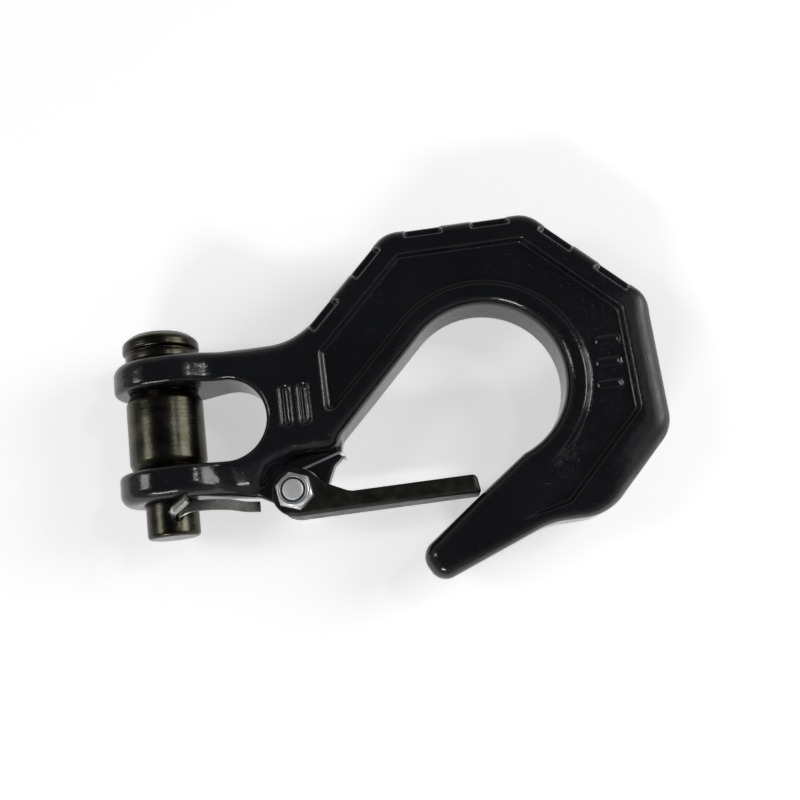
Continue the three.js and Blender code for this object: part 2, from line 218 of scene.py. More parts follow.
LUG_HALF, LUG_RADIUS = 2.6, 4.3
BOLT_HOLE = 2.75
LUG = outline([
    (16, -12), (16, -17.6), (21.5, -18.9, 8), (PIVOT[0], PIVOT[1], LUG_RADIUS, 232, 318),
    (38.8, -18.7, 2), (41.0, -13.8, 2), (43.0, -12.2, 0.8), (43.2, -8, 1), (38, -5),
])

# The sunk panel leaves a rim along each facet and a bead along the throat and the bowl.
RIM, NOSE_RIM, LOWER_RIM, HEEL_RIM, BEAD_WIDTH = 7.1, 7.7, 9.2, 4.1, 5.2
PANEL_LEFT = 41.25
PANEL_DEPTH = 1.8
PANEL_NOSE = NOSE - NOSE_RIM
BEAD = (*BOWL[:2], BOWL[2] + BEAD_WIDTH)
BEAD_LINE = BEAD[1] - BEAD[0] + BEAD[2] * (math.sin(THROAT * DEGREE) - math.cos(THROAT * DEGREE))


def panel_outline():
    lower, heel = inset(LOWER, LOWER_RIM, -1), inset(HEEL_LINE, HEEL_RIM, -1)
    falling, top, rising = (inset(line, RIM, 1) for line in (FALLING, TOP_LINE, RISING))
    return outline([
        (PANEL_LEFT, PANEL_LEFT + BEAD_LINE, 1), (*BEAD, THROAT, -72),
        (80, -28.8), (74, -33.5), (84, -33.2),
        (*crossing(lower, heel), 3),
        (PANEL_NOSE, lower[0] * PANEL_NOSE + lower[1], 2),
        (PANEL_NOSE, falling[0] * PANEL_NOSE + falling[1], 2),
        (*crossing(falling, top), 2), (*crossing(top, rising), 2),
        (PANEL_LEFT, PANEL_LEFT + rising[1], 1),
    ])


PANEL = panel_outline()


def facet_frames():
    """Middle and angle of each of the three facets that carry pockets."""
    corners = [
        ((EAR_FACE - RISING[1], EAR_FACE), crossing(RISING, TOP_LINE)),
        (crossing(RISING, TOP_LINE), crossing(TOP_LINE, FALLING)),
        (crossing(TOP_LINE, FALLING), (NOSE, FALLING[1] - NOSE)),
    ]
    for (ax, ay), (bx, by) in corners:
        yield (ax + bx) / 2, (ay + by) / 2, math.atan2(by - ay, bx - ax)


def step(value, low, high):
    """Rises smoothly from 0 at low to 1 at high."""
    t = np.clip((value - low) / (high - low), 0, 1)
    return t * t * (3 - 2 * t)


def box_distance(x, y, cx, cy, half_x, half_y, angle=0.0):
    """Signed distance to a rectangle turned by an angle about its middle."""
    dx, dy = x - cx, y - cy
    u = dx * math.cos(angle) + dy * math.sin(angle)
    v = -dx * math.sin(angle) + dy * math.cos(angle)
    a, b = np.abs(u) - half_x, np.abs(v) - half_y
    return np.hypot(np.maximum(a, 0), np.maximum(b, 0)) + np.minimum(np.maximum(a, b), 0)


MARKS = (31.4, 35.9)                    # x of the two stadium-shaped marks in the shank
MARK_Y, MARK_HALF_LENGTH = 1.2, 4.0
MARK_GROOVE, MARK_DEPTH = 0.9, 0.55     # the groove's distance from the mark's middle line

POCKET_SPACING, POCKET_HALF_LENGTH, POCKET_REACH = 17.0, 4.9, 2.8
POCKET_FLOOR, POCKET_EDGE = 5.75, 0.9

BARS = (-1, 0, 1)
BAR_MIDDLE, BAR_STEP, BAR_HALF, BAR_HEIGHT = (110.4, 1.6), (0.7, 5.5), (2.4, 0.6), 0.5


def mark_distance(x, y, mark):
    """Distance from the middle line of one of the marks."""
    return box_distance(x, y, mark, MARK_Y, 0.02, MARK_HALF_LENGTH)


def pocket_distances(x, y):
    """Distance to the outline of each of the six pockets."""
    for cx, cy, angle in facet_frames():
        for along in (-POCKET_SPACING / 2, POCKET_SPACING / 2):
            px, py = cx + along * math.cos(angle), cy + along * math.sin(angle)
            yield box_distance(x, y, px, py, POCKET_HALF_LENGTH, POCKET_REACH, angle)


def panel_sink(x, y):
    """How far the face lies below the rim: the panel's floor, which fades out towards the tip."""
    bead_side = np.abs(np.hypot(x - BEAD[0], y - BEAD[1]) - BEAD[2])
    bead_side = np.minimum(bead_side, np.abs(y - x - BEAD_LINE) / math.sqrt(2))
    wall = 1.5 + 0.3 * (1 - step(bead_side, 1.5, 4)) - 0.5 * (1 - step(x, 42, 46))
    outer_part = step(x - y, 112.5, 124)
    kept = outer_part + (1 - outer_part) * step(y, -26, -13)
    kept = np.maximum(kept, step(x, 84, 100) * step(-y, 20, 27))
    return PANEL_DEPTH * kept * (1 - step(distance(PANEL, x, y), -wall / 2, wall / 2))


def broad_edges(x, y):
    """1 where the body's edge is rounded more broadly: round the nose and along the arm's outer side."""
    nose = step(x, 98, 112) * (1 - step(y, 12, 19))
    arm = step(x, 14, 30) * (1 - step(x, 44, 58)) * step(y, 6, 12) * (1 - step(y - x, -24, -19))
    return nose + arm


def fields(x, y):
    """What the body's surface needs to know about each place in plan."""
    top = HALF - panel_sink(x, y)
    edge = 3.0 + 2.0 * broad_edges(x, y)
    for pocket in pocket_distances(x, y):
        notch = 1 - step(pocket, -0.75, 0.1)
        top = top * (1 - notch) + POCKET_FLOOR * notch
        edge = edge * (1 - notch) + POCKET_EDGE * notch
    for mark in MARKS:
        groove = np.abs(mark_distance(x, y, mark) - MARK_GROOVE)
        top = top - MARK_DEPTH * (1 - step(groove, 0.12, 0.42))
    for i in BARS:
        bar_x, bar_y = (middle + i * apart for middle, apart in zip(BAR_MIDDLE, BAR_STEP))
        bar = box_distance(x, y, bar_x, bar_y, *BAR_HALF)
        top = top + BAR_HEIGHT * (1 - step(bar, -0.1, 0.75))
    towards_tip = -((x - 92) * math.cos(TIP_DIRECTION) + (y + 30) * math.sin(TIP_DIRECTION))
    fall = TIP_FALL * (np.sqrt(towards_tip ** 2 + 16) + towards_tip) / 2
    top = top - fall * step(-y, 8, 20)
    edge = edge + 0.9 * step(towards_tip, 12, 30) - 0.9 * (1 - step(x, 12, 28))
    return {
        "plan": distance(BODY, x, y), "top": top, "edge": edge,
        "slot": distance(SLOT, x, y), "lug": distance(LUG, x, y),
        "bolt_hole": np.hypot(x - PIVOT[0], y - PIVOT[1]) - BOLT_HOLE,
    }


def both(a, b, radius):
    """Where both are inside, with the edge between them rounded."""
    past_a, past_b = np.maximum(a + radius, 0), np.maximum(b + radius, 0)
    return np.minimum(np.maximum(a, b), -radius) + np.hypot(past_a, past_b)


def either(a, b, radius):
    """Where at least one is inside, with the corner between them filled by a radius."""
    return -both(-a, -b, radius)


def body_surface(x, y, z):
    f = fields(x, y)
    ear = np.hypot(x - np.clip(x, 0, EAR_FLAT), z) - EAR_RADIUS
    across = either(ear, np.maximum(np.abs(z) - f["top"], PLATE_START - x), 2.5)
    whole = both(f["plan"], across, f["edge"])
    lug = both(f["lug"], np.abs(z) - LUG_HALF, 0.9)
    whole = either(whole, lug, 1.2)
    whole = both(whole, -f["slot"], 1.3)
    whole = both(whole, PIN_BORE - np.hypot(x, z), 0.7)
    return both(whole, -f["bolt_hole"], 0.35)


def surface_net(surface, low, high, pitch):
    """A quad mesh of where surface(x, y, z) is 0, on a regular grid."""
    axes = [np.arange(a, b + pitch, pitch) for a, b in zip(low, high)]
    value = surface(axes[0][:, None, None], axes[1][None, :, None], axes[2][None, None, :])
    inside = value < 0
    cells = np.array(value.shape) - 1
    total = np.zeros((*cells, 3))
    count = np.zeros(cells, np.int16)
    for a in np.ndindex(2, 2, 2):
        for axis in range(3):
            if a[axis]:
                continue
            b = [1 if i == axis else k for i, k in enumerate(a)]
            va = value[a[0]:a[0] + cells[0], a[1]:a[1] + cells[1], a[2]:a[2] + cells[2]]
            vb = value[b[0]:b[0] + cells[0], b[1]:b[1] + cells[1], b[2]:b[2] + cells[2]]
            cross = (va < 0) != (vb < 0)
            t = va[cross] / (va[cross] - vb[cross])
            total[cross] += np.array(a) + (np.array(b) - np.array(a)) * t[:, None]
            count[cross] += 1
    used = count > 0
    number = np.full(cells, -1)
    number[used] = np.arange(used.sum())
    points = (np.argwhere(used) + total[used] / count[used][:, None]) * pitch + np.array(low)
    quads = []
    for axis in range(3):
        u, v = (axis + 1) % 3, (axis + 2) % 3
        span = [slice(1, -1)] * 3
        span[axis] = slice(0, -1)
        ahead = list(span)
        ahead[axis] = slice(1, None)
        lo, hi = inside[tuple(span)], inside[tuple(ahead)]
        for mask, flip in ((lo & ~hi, False), (~lo & hi, True)):
            at = np.argwhere(mask)
            at[:, [u, v]] += 1
            ring = []
            for du, dv in ((0, 0), (-1, 0), (-1, -1), (0, -1)):
                cell = at.copy()
                cell[:, u] += du
                cell[:, v] += dv
                ring.append(number[tuple(cell.T)])
            quads.append(np.stack(ring[::-1] if flip else ring, axis=1))
    return points, np.concatenate(quads)


def settle(surface, points, rounds, limit):
    """Moves points along the surface's slope until they lie on it."""
    nudge = 0.02
    for _ in range(rounds):
        x, y, z = points.T
        value = surface(x, y, z)
        ahead = [surface(x + nudge, y, z), surface(x, y + nudge, z), surface(x, y, z + nudge)]
        slope = (np.stack(ahead, axis=1) - value[:, None]) / nudge
        size = np.maximum((slope ** 2).sum(1), 0.05)
        move = -slope * (value / size)[:, None]
        length = np.maximum(np.linalg.norm(move, axis=1), 1e-9)
        points = points + move * np.minimum(1, limit / length)[:, None]
    return points


def moulded(name, surface, low, high, pitch, body, node_name):
    """A piece whose skin is where surface(x, y, z) is 0, within a box from low to high."""
    rounds = 2
    points, quads = surface_net(surface, low, high, pitch)
    points = settle(surface, points, rounds, pitch * 0.5)
    return add_mesh(name, points, quads.tolist(), body, node_name)


# ---------------------------------------------------------------- turned and swept pieces
def revolved(profile, turned, segments=96):
    """A closed (radius, height) profile turned about an axis; turned(radius, height, angle) places it."""
    profile = np.array(profile, float)
    angles = np.linspace(0, 2 * math.pi, segments, endpoint=False)
    points = [turned(r, h, t) for t in angles for r, h in profile]
    n = len(profile)
    faces = []
    for i in range(segments):
        j = (i + 1) % segments
        for k in range(n):
            m = (k + 1) % n
            faces.append((i * n + k, i * n + m, j * n + m, j * n + k))
    return points, faces


def about_y(r, h, t):
    return r * math.sin(t), h, r * math.cos(t)


def about_pivot(r, h, t):
    return PIVOT[0] + r * math.cos(t), PIVOT[1] + r * math.sin(t), PIVOT[2] + h


def smooth_path(points):
    """A Catmull-Rom path through points."""
    p = np.array(points, float)
    p = np.vstack([2 * p[0] - p[1], p, 2 * p[-1] - p[-2]])
    found = []
    for a, b, c, d in zip(p, p[1:], p[2:], p[3:]):
        for t in np.linspace(0, 1, 8, endpoint=False):
            square, cube = 2 * a - 5 * b + 4 * c - d, 3 * b - a - 3 * c + d
            found.append(0.5 * (2 * b + (c - a) * t + square * t ** 2 + cube * t ** 3))
    found.append(p[-2])
    return np.array(found)


def swept(path, section, side):
    """A closed (across, over) section carried along a path, with flat ends. side starts off across."""
    path = np.array(path, float)
    along = np.gradient(path, axis=0)
    along /= np.linalg.norm(along, axis=1)[:, None]
    across = np.array(side, float)
    points = []
    for place, direction in zip(path, along):
        across = across - direction * (across @ direction)
        across /= np.linalg.norm(across)
        over = np.cross(direction, across)
        points += [place + a * across + b * over for a, b in section]
    n = len(section)
    faces = [tuple(range(n))[::-1], tuple(range(len(points) - n, len(points)))]
    for i in range(len(path) - 1):
        for k in range(n):
            m = (k + 1) % n
            faces.append((i * n + k, i * n + m, (i + 1) * n + m, (i + 1) * n + k))
    return np.array(points), faces


def joined_parts(parts):
    points, faces = [], []
    for part_points, part_faces in parts:
        start = len(points)
        points += [tuple(p) for p in part_points]
        faces += [tuple(start + i for i in face) for face in part_faces]
    return points, faces


def ring_section(radius):
    angles = np.linspace(0, 2 * math.pi, 12, endpoint=False)
    return [(radius * math.cos(a), radius * math.sin(a)) for a in angles]


def half_round(radius):
    """A half-round wire's section, flat side towards negative over, with its corners eased."""
    ease = 0.12
    angles = np.linspace(ease, math.pi - ease, 10)
    curve = [(radius * math.cos(a), radius * math.sin(a)) for a in angles]
    return curve + [(radius * (ease - 1), 0), (radius * (1 - ease), 0)]


# ---------------------------------------------------------------- the pieces
SHARP = 35 * DEGREE

PIN_RADIUS, PIN_END = 6.35, -26.1
PIN_TURN = 22 * DEGREE                  # how far the cross hole leans towards the bowl
CROSS_Y, CROSS_RADIUS = -20.8, 1.75
NECK_RADIUS, HEAD_RADIUS, HEAD_TOP = 8.9, 9.5, 25.5
UNDER_HEAD = EAR_FACE + 0.25
PIN_SIDE = outline([
    (-5, PIN_END), (PIN_RADIUS, PIN_END, 1.0), (PIN_RADIUS, UNDER_HEAD),
    (NECK_RADIUS, UNDER_HEAD, 0.4), (NECK_RADIUS, 20.0, 0.5), (NECK_RADIUS - 0.6, 20.45, 0.2),
    (HEAD_RADIUS, 21.0, 0.5), (HEAD_RADIUS, 23.3, 1.6), (7.6, HEAD_TOP - 0.6, 1.2),
    (5, HEAD_TOP - 0.1, 4), (0, HEAD_TOP), (-5, HEAD_TOP),
])


def pin_surface(x, y, z):
    body = distance(PIN_SIDE, np.hypot(x, z), y)
    across = np.hypot(x * math.cos(PIN_TURN) - z * math.sin(PIN_TURN), y - CROSS_Y)
    return both(body, CROSS_RADIUS - across, 0.3)


def build_roller():
    """A sleeve with a long chamfer at each end of its outside."""
    end, out = 9.7, 9.4
    profile = [(PIN_BORE, 0.4 - end), (PIN_BORE + 0.4, -end), (out - 1.25, -end), (out - 0.95, 0.12 - end)]
    profile += [(out - 0.2, 1.75 - end), (out - 0.05, 2.05 - end), (out, 2.5 - end)]
    profile += [(r, -y) for r, y in reversed(profile)]
    points, faces = revolved(profile, about_y, 128)
    roller = add_mesh("roller", points, faces, "roller", "pin_roller")
    roller.data.set_sharp_from_angle(angle=SHARP)
    return roller


def tilted(points):
    """Leans points drawn with the cross hole upright to the way that the pin is turned."""
    p = np.array(points, float)
    c, s = math.cos(PIN_TURN), math.sin(PIN_TURN)
    return np.c_[p[:, 0] * c + p[:, 2] * s, p[:, 1], -p[:, 0] * s + p[:, 2] * c]


def build_split_pin():
    """Two half-round legs that meet along their flats in the cross hole, and the eye beyond it."""
    y, apart, eye_end, across = CROSS_Y, 0.12, -6.2, (0, 1, 0)
    short = [
        (-apart, y, eye_end), (-apart, y, 0), (-apart, y, 5.4), (-0.3, y + 0.15, 7), (-0.1, y + 0.7, 8.9),
        (1.1, y + 1.5, 10.6), (2.3, y + 2.4, 12.2),
    ]
    long = [
        (apart, y, eye_end), (apart, y, 0), (apart, y, 5.2), (0.9, y + 0.3, 6.9), (3.2, y + 1.0, 8.2),
        (7.5, y + 1.1, 8.7), (12.5, y + 0.7, 8.7), (16.5, y - 0.1, 8.5), (20, y - 0.4, 8.4),
    ]
    eye = [
        (-apart, y, eye_end), (-0.6, y, -7.0), (-2.0, y, -8.5), (-1.8, y, -10.2), (0, y, -11.0),
        (1.8, y, -10.2), (2.0, y, -8.5), (0.6, y, -7.0), (apart, y, eye_end),
    ]
    leg = half_round(1.4)
    points, faces = joined_parts([
        swept(smooth_path(short), leg, across),
        swept(smooth_path(long), [(a, -b) for a, b in reversed(leg)], across),
        swept(smooth_path(eye), half_round(1.1)[::-1], across),
    ])
    cotter = add_mesh("cotter", tilted(points), faces, "pin", "split_pin")
    cotter.data.set_sharp_from_angle(angle=SHARP)
    return cotter


LATCH_HALF, SHEET, BOSS = 5.8, 1.2, 5.9     # half the width, sheet thickness, radius of the boss
INNER, LATCH_END = -21.0, 75.4              # y of the sides' inner edge, x of the end by the tip
WEB = PIVOT[1] - BOSS                       # y of the web's outer face
WRAP_X = PIVOT[0] - (BOSS - SHEET) / 2      # how far the web follows the boss
LATCH_SIDE = outline([
    (PIVOT[0], PIVOT[1], BOSS, 46, 270), (LATCH_END, WEB, 0.6), (LATCH_END - 0.5, INNER, 1.5),
    (44.2, INNER, 5), (38.4, -18.2, 8),
])


def latch_surface(x, y, z):
    """A channel whose web follows the boss a little way round the bolt."""
    side = distance(LATCH_SIDE, x, y)
    radius = np.hypot(x - PIVOT[0], y - PIVOT[1])
    depth = np.where(x < PIVOT[0], BOSS - radius, y - WEB)
    bend = 0.25 + 1.15 * step(x, WRAP_X - 1.5, WRAP_X + 1) * step(y, INNER + 1, INNER - 1.5)
    outside = both(both(side, -depth, 0.2), np.abs(z) - LATCH_HALF, bend)
    hollow = both(np.abs(z) - (LATCH_HALF - SHEET), np.minimum(SHEET - depth, x - WRAP_X), 0.6)
    return both(outside, -hollow, 0.25)


HEX_FLATS = 8.0
NUT_TURN, HEAD_TURN = 70 * DEGREE, 50 * DEGREE
NUT_LOW, NUT_HEIGHT, NUT_HEX_HALF = LATCH_HALF + 0.05, 4.95, 1.75
COLLAR_RADIUS, COLLAR_BORE, NYLON_SEAT = 3.85, 2.98, 3.4
BOLT_RADIUS, THREAD_PITCH, THREAD_DEPTH = 2.5, 0.8, 0.14
UNDER_BOLT_HEAD, BOLT_HEAD_HEIGHT = -LATCH_HALF - 0.05, 3.35
BOLT_END = NUT_LOW + NUT_HEIGHT + 0.35


def from_pivot(x, y):
    return np.hypot(x - PIVOT[0], y - PIVOT[1])


def hexagon(x, y, angle):
    dx, dy = x - PIVOT[0], y - PIVOT[1]
    flats = [np.abs(dx * math.cos(a) + dy * math.sin(a)) for a in angle + np.arange(3) * math.pi / 3]
    return np.max(flats, axis=0) - HEX_FLATS / 2


def nut_surface(x, y, z):
    """A chamfered hexagon with the round collar that holds the nylon."""
    r = from_pivot(x, y)
    h = z - NUT_LOW
    end_faces = np.abs(h - NUT_HEX_HALF) - NUT_HEX_HALF
    hexa = both(hexagon(x, y, NUT_TURN), end_faces, 0.12)
    hexa = both(hexa, (r - 4.02) * 0.5 + end_faces * 0.87, 0.1)
    collar = both(r - COLLAR_RADIUS, h - NUT_HEIGHT, 0.45)
    collar = both(collar, 1 - h, 0.1)
    whole = either(hexa, collar, 0.3)
    whole = both(whole, 2.75 - r, 0.1)
    return both(whole, -np.maximum(r - COLLAR_BORE, NYLON_SEAT - h), 0.15)


def bolt_surface(x, y, z):
    """A hexagon head under the latch and a threaded shank with a domed end above it."""
    r = from_pivot(x, y)
    below = UNDER_BOLT_HEAD - z
    head = both(hexagon(x, y, HEAD_TURN), np.abs(1.7 - below) - 1.65, 0.15)
    head = both(head, (r - 3.9) * 0.5 + (below - BOLT_HEAD_HEIGHT) * 0.87, 0.15)
    turn = np.arctan2(y - PIVOT[1], x - PIVOT[0]) / (2 * math.pi)
    thread = THREAD_DEPTH * np.abs(2 * ((z / THREAD_PITCH - turn) % 1) - 1) * (z > NUT_LOW - 1)
    shank = both(r - BOLT_RADIUS + thread * (z < BOLT_END - 0.5), z - BOLT_END + 0.03 * r * r, 0.3)
    shank = both(shank, below, 0.1)
    return either(head, shank, 0.1)


def build_nylon():
    low = NUT_LOW + NYLON_SEAT + 0.05
    profile = [
        (2.5, low), (2.92, low), (2.92, low + 0.7), (2.8, low + 0.85), (2.7, low + 0.9), (2.58, low + 0.85),
        (2.5, low + 0.7),
    ]
    points, faces = revolved(profile, about_pivot, 72)
    return add_mesh("nylon_insert", points, faces, "hook", "nylon_ring")


WIRE, COIL_RADIUS, WIRE_GAP = 0.36, 4.45, 0.09
COIL_OFFSET = (1.1, 0.9)                # the loaded coil hangs to one side of the bolt
COIL_START, COIL_STOP = 105.5, 640      # degrees


def build_spring(side):
    """One half of the double torsion spring: half the bridge, the hook leg, the coil and the latch leg."""
    low, high = LUG_HALF + WIRE + WIRE_GAP, LATCH_HALF - SHEET - WIRE - WIRE_GAP
    cx, cy = PIVOT[0] + COIL_OFFSET[0], PIVOT[1] + COIL_OFFSET[1]
    count = 70
    angles = np.radians(np.linspace(COIL_START, COIL_STOP, count))
    coil = np.c_[
        cx + COIL_RADIUS * np.cos(angles), cy + COIL_RADIUS * np.sin(angles), np.linspace(low, high, count)]
    hook_leg = smooth_path([
        (43.75, -12.2, 0), (43.75, -12.2, low - 1.4), (43.6, -12.0, low - 0.5), (43.0, -11.4, low - 0.05),
        (42.0, -11.2, low), (36.6, -12.9, low), tuple(coil[0]),
    ])
    latch_leg = smooth_path([tuple(coil[-1]), (36.9, -22.75, high), (41, -23.2, high), (46, -23.8, high)])
    path = np.vstack([hook_leg[:-1], coil, latch_leg[1:]])
    path[:, 2] *= side
    points, faces = swept(path, ring_section(WIRE), (0, 1, 0))
    obj = link_mesh("spring_upper" if side > 0 else "spring_lower", points, faces)
    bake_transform(obj)
    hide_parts("latch_spring")
    return obj


body = moulded("forged_body", body_surface, (-13, -46, -13.1), (124.5, 44.2, 13.2), 0.49,
               "hook", "hook_body")
pin = moulded("headed_pin", pin_surface, (-10.2, -26.8, -10.2), (10.2, 27.6, 10.2), 0.32,
              "pin", "clevis_pin")
roller = build_roller()
cotter = build_split_pin()
latch = moulded("latch_channel", latch_surface, (25.1, -26.1, -6.2), (75.6, -13.2, 6.3), 0.26,
                "latch", "latch")
nut = moulded("lock_nut", nut_surface, (26, -25, NUT_LOW - 0.4), (36.6, -14.4, NUT_LOW + 5.4), 0.14,
              "hook", "latch_nut")
bolt = moulded("pivot_bolt", bolt_surface, (26, -25, -10.6), (36.6, -14.4, NUT_LOW + 6), 0.16,
               "hook", "latch_bolt")
nylon = build_nylon()
springs = [build_spring(side) for side in (1, -1)]


# ---------------------------------------------------------------- materials
def material(name, **values):
    """A Principled material; returns it with its node tree's handles for adding detail."""
    made = bpy.data.materials.new(name)
    made.use_nodes = True
    shader = made.node_tree.nodes["Principled BSDF"]
    for key, value in values.items():
        shader.inputs[key.replace("_", " ")].default_value = value
    return made, made.node_tree, shader


def node(tree, kind, inputs=(), **settings):
    made = tree.nodes.new(kind)
    for key, value in settings.items():
        setattr(made, key, value)
    for key, value in dict(inputs).items():
        if isinstance(value, bpy.types.NodeSocket):
            tree.links.new(value, made.inputs[key])
        else:
            made.inputs[key].default_value = value
    return made


def noise(tree, place, scale, detail=3.0, roughness=0.5):
    """Noise with about scale features per metre."""
    inputs = {"Vector": place, "Scale": scale, "Detail": detail, "Roughness": roughness}
    return node(tree, "ShaderNodeTexNoise", inputs).outputs["Fac"]


def ramp(tree, value, stops):
    made = node(tree, "ShaderNodeValToRGB", {"Fac": value})
    elements = made.color_ramp.elements
    while len(elements) < len(stops):
        elements.new(0.5)
    for element, (position, colour) in zip(elements, stops):
        element.position = position
        element.color = (*colour, 1) if len(colour) == 3 else colour
    return made.outputs["Color"]


def grey(v):
    return (v, v, v)


def bump(tree, height, distance_m, normal=None):
    inputs = {"Height": height, "Distance": distance_m, "Strength": 1.0}
    if normal is not None:
        inputs["Normal"] = normal
    return node(tree, "ShaderNodeBump", inputs).outputs["Normal"]


def place_of(tree):
    return node(tree, "ShaderNodeTexCoord").outputs["Object"]


def mix(tree, factor, a, b):
    """Mixes two colours. The node's colour sockets share their names with others, so they go by index."""
    made = tree.nodes.new("ShaderNodeMix")
    made.data_type = "RGBA"
    for index, value in ((0, factor), (6, a), (7, b)):
        if isinstance(value, bpy.types.NodeSocket):
            tree.links.new(value, made.inputs[index])
        else:
            made.inputs[index].default_value = value
    return made.outputs[2]


def math_node(tree, operation, a, b=0.0):
    return node(tree, "ShaderNodeMath", {0: a, 1: b}, operation=operation).outputs[0]


def attribute(tree, name):
    return node(tree, "ShaderNodeAttribute", attribute_name=name).outputs["Fac"]


def black_paint():
    """Gloss paint over a forging: uneven in tone, mixed towards a lighter grey along the pocket, mark and
    panel edges (partly worn paint, partly a painted highlight where the edge fillets catch the light), and
    duller round the nose.
    """
    made, tree, shader = material("black_gloss_paint", IOR=1.5)
    place = place_of(tree)
    normal = bump(tree, noise(tree, place, 150, 2), 0.0001)
    normal = bump(tree, noise(tree, place, 900, 2), 0.00004, normal=normal)
    specks = ramp(tree, noise(tree, place, 2400, 1), [(0.68, grey(0)), (0.76, grey(1))])
    tree.links.new(bump(tree, specks, 0.00002, normal=normal), shader.inputs["Normal"])
    shades = [(0.3, (0.0058, 0.006, 0.0074)), (0.7, (0.0092, 0.0095, 0.0112))]
    tone = ramp(tree, noise(tree, place, 60, 4), shades)
    patches = ramp(tree, noise(tree, place, 1700, 2), [(0.36, grey(0.15)), (0.62, grey(1))])
    # The lighter grey mixed in along the edges is partly worn paint and partly a painted highlight on the
    # edge fillets.
    wear_and_highlight_amount = math_node(tree, "MULTIPLY", attribute(tree, "wear_and_highlight"), patches)
    tree.links.new(mix(tree, wear_and_highlight_amount, tone, (0.13, 0.13, 0.125, 1)), shader.inputs["Base Color"])
    gloss = ramp(tree, noise(tree, place, 420, 3), [(0.3, grey(0.1)), (0.75, grey(0.24))])
    rough = math_node(tree, "ADD", gloss, math_node(tree, "MULTIPLY", attribute(tree, "dull"), 0.24))
    tree.links.new(rough, shader.inputs["Roughness"])
    return made


def dark_steel():
    """Turned steel under old oil: fine rings round the pin's axis, with stains."""
    made, tree, shader = material("oiled_turned_steel", Metallic=1.0)
    place = place_of(tree)
    stretched = node(tree, "ShaderNodeMapping", {"Vector": place, "Scale": (60, 2600, 60)}).outputs["Vector"]
    rings = noise(tree, stretched, 1.0)
    stains = noise(tree, place, 240, 4)
    shades = [(0.3, (0.03, 0.028, 0.019)), (0.55, (0.056, 0.053, 0.04)), (0.75, (0.092, 0.088, 0.068))]
    tree.links.new(ramp(tree, stains, shades), shader.inputs["Base Color"])
    uneven = math_node(tree, "MULTIPLY", math_node(tree, "ADD", rings, stains), 0.16)
    tree.links.new(math_node(tree, "ADD", uneven, 0.1), shader.inputs["Roughness"])
    normal = bump(tree, rings, 0.00003)
    tree.links.new(bump(tree, noise(tree, place, 1500, 2), 0.00002, normal=normal), shader.inputs["Normal"])
    return made


def phosphate():
    made, tree, shader = material("olive_phosphate", Metallic=0.25, IOR=1.45)
    place = place_of(tree)
    blotches = noise(tree, place, 330, 5, 0.6)
    shades = [(0.3, (0.006, 0.006, 0.0038)), (0.55, (0.0125, 0.0122, 0.0085)), (0.78, (0.03, 0.029, 0.021))]
    tree.links.new(ramp(tree, blotches, shades), shader.inputs["Base Color"])
    tree.links.new(ramp(tree, blotches, [(0.3, grey(0.32)), (0.7, grey(0.52))]), shader.inputs["Roughness"])
    normal = bump(tree, noise(tree, place, 1900, 3), 0.00004)
    tree.links.new(bump(tree, noise(tree, place, 300, 3), 0.00012, normal=normal), shader.inputs["Normal"])
    return made


def zinc(name, light, dark, roughness):
    made, tree, shader = material(name, Metallic=1.0)
    place = place_of(tree)
    clouds = noise(tree, place, 500, 4, 0.6)
    tree.links.new(ramp(tree, clouds, [(0.32, dark), (0.68, light)]), shader.inputs["Base Color"])
    rough = ramp(tree, clouds, [(0.3, grey(roughness + 0.14)), (0.7, grey(roughness))])
    tree.links.new(rough, shader.inputs["Roughness"])
    normal = bump(tree, noise(tree, place, 2400, 2), 0.00002)
    tree.links.new(bump(tree, noise(tree, place, 420, 2), 0.00006, normal=normal), shader.inputs["Normal"])
    return made


def nylon_blue():
    made, tree, shader = material("blue_nylon", Roughness=0.42, IOR=1.53)
    place = place_of(tree)
    tone = ramp(tree, noise(tree, place, 900, 2), [(0.3, (0.03, 0.055, 0.11)), (0.7, (0.05, 0.09, 0.17))])
    tree.links.new(tone, shader.inputs["Base Color"])
    tree.links.new(bump(tree, noise(tree, place, 1800, 2), 0.00003), shader.inputs["Normal"])
    return made


def paint_with(made, *objects):
    for obj in objects:
        obj.data.materials.clear()
        obj.data.materials.append(made)


def near(value, target, full, none):
    """1 where value is within full of target, falling to 0 where it is none away."""
    return 1 - step(np.abs(value - target), full, none)


def wear_and_highlight_edges(x, y, z):
    """Where the paint is made lighter: the rims of the pockets and marks, and the panel's edges at its two
    ends; partly worn paint, partly a painted highlight along these edge fillets.
    """
    wear_and_highlight = np.zeros(len(x))
    # Painted highlight and wear: a lighter band along each pocket's rim.
    for pocket in pocket_distances(x, y):
        wear_and_highlight = np.maximum(wear_and_highlight, 0.75 * near(pocket, -0.05, 0.05, 0.36) * (np.abs(z) > 5.9))
    for mark in MARKS:
        out = mark_distance(x, y, mark)
        sides = near(y, MARK_Y, 4.2, 5.2)
        wear_and_highlight = np.maximum(wear_and_highlight, near(out, 1.45, 0.05, 0.3) * sides)
        wear_and_highlight = np.maximum(wear_and_highlight, 0.7 * near(out, 0.42, 0.02, 0.2) * sides)
    left = near(x, PANEL_LEFT, 1.2, 1.6) * step(y, -2, -1) * (1 - step(y, 12, 13))
    nose = step(x, PANEL_NOSE - 3, PANEL_NOSE - 2) * step(y, -12, -10) * (1 - step(y, 14, 16))
    panel = distance(PANEL, x, y)
    lines = np.maximum(near(panel, 0.5, 0.1, 0.35), near(panel, -0.5, 0.05, 0.25))
    return np.maximum(wear_and_highlight, lines * np.maximum(left, 0.7 * nose) * (np.abs(z) > 5))


def dull_rim(x, y):
    """Where the paint has lost its gloss: the rim round the nose."""
    return step(x, 104, 114) * (1 - step(-distance(BODY, x, y), 6, 7.5)) * (1 - step(y, 14, 20))


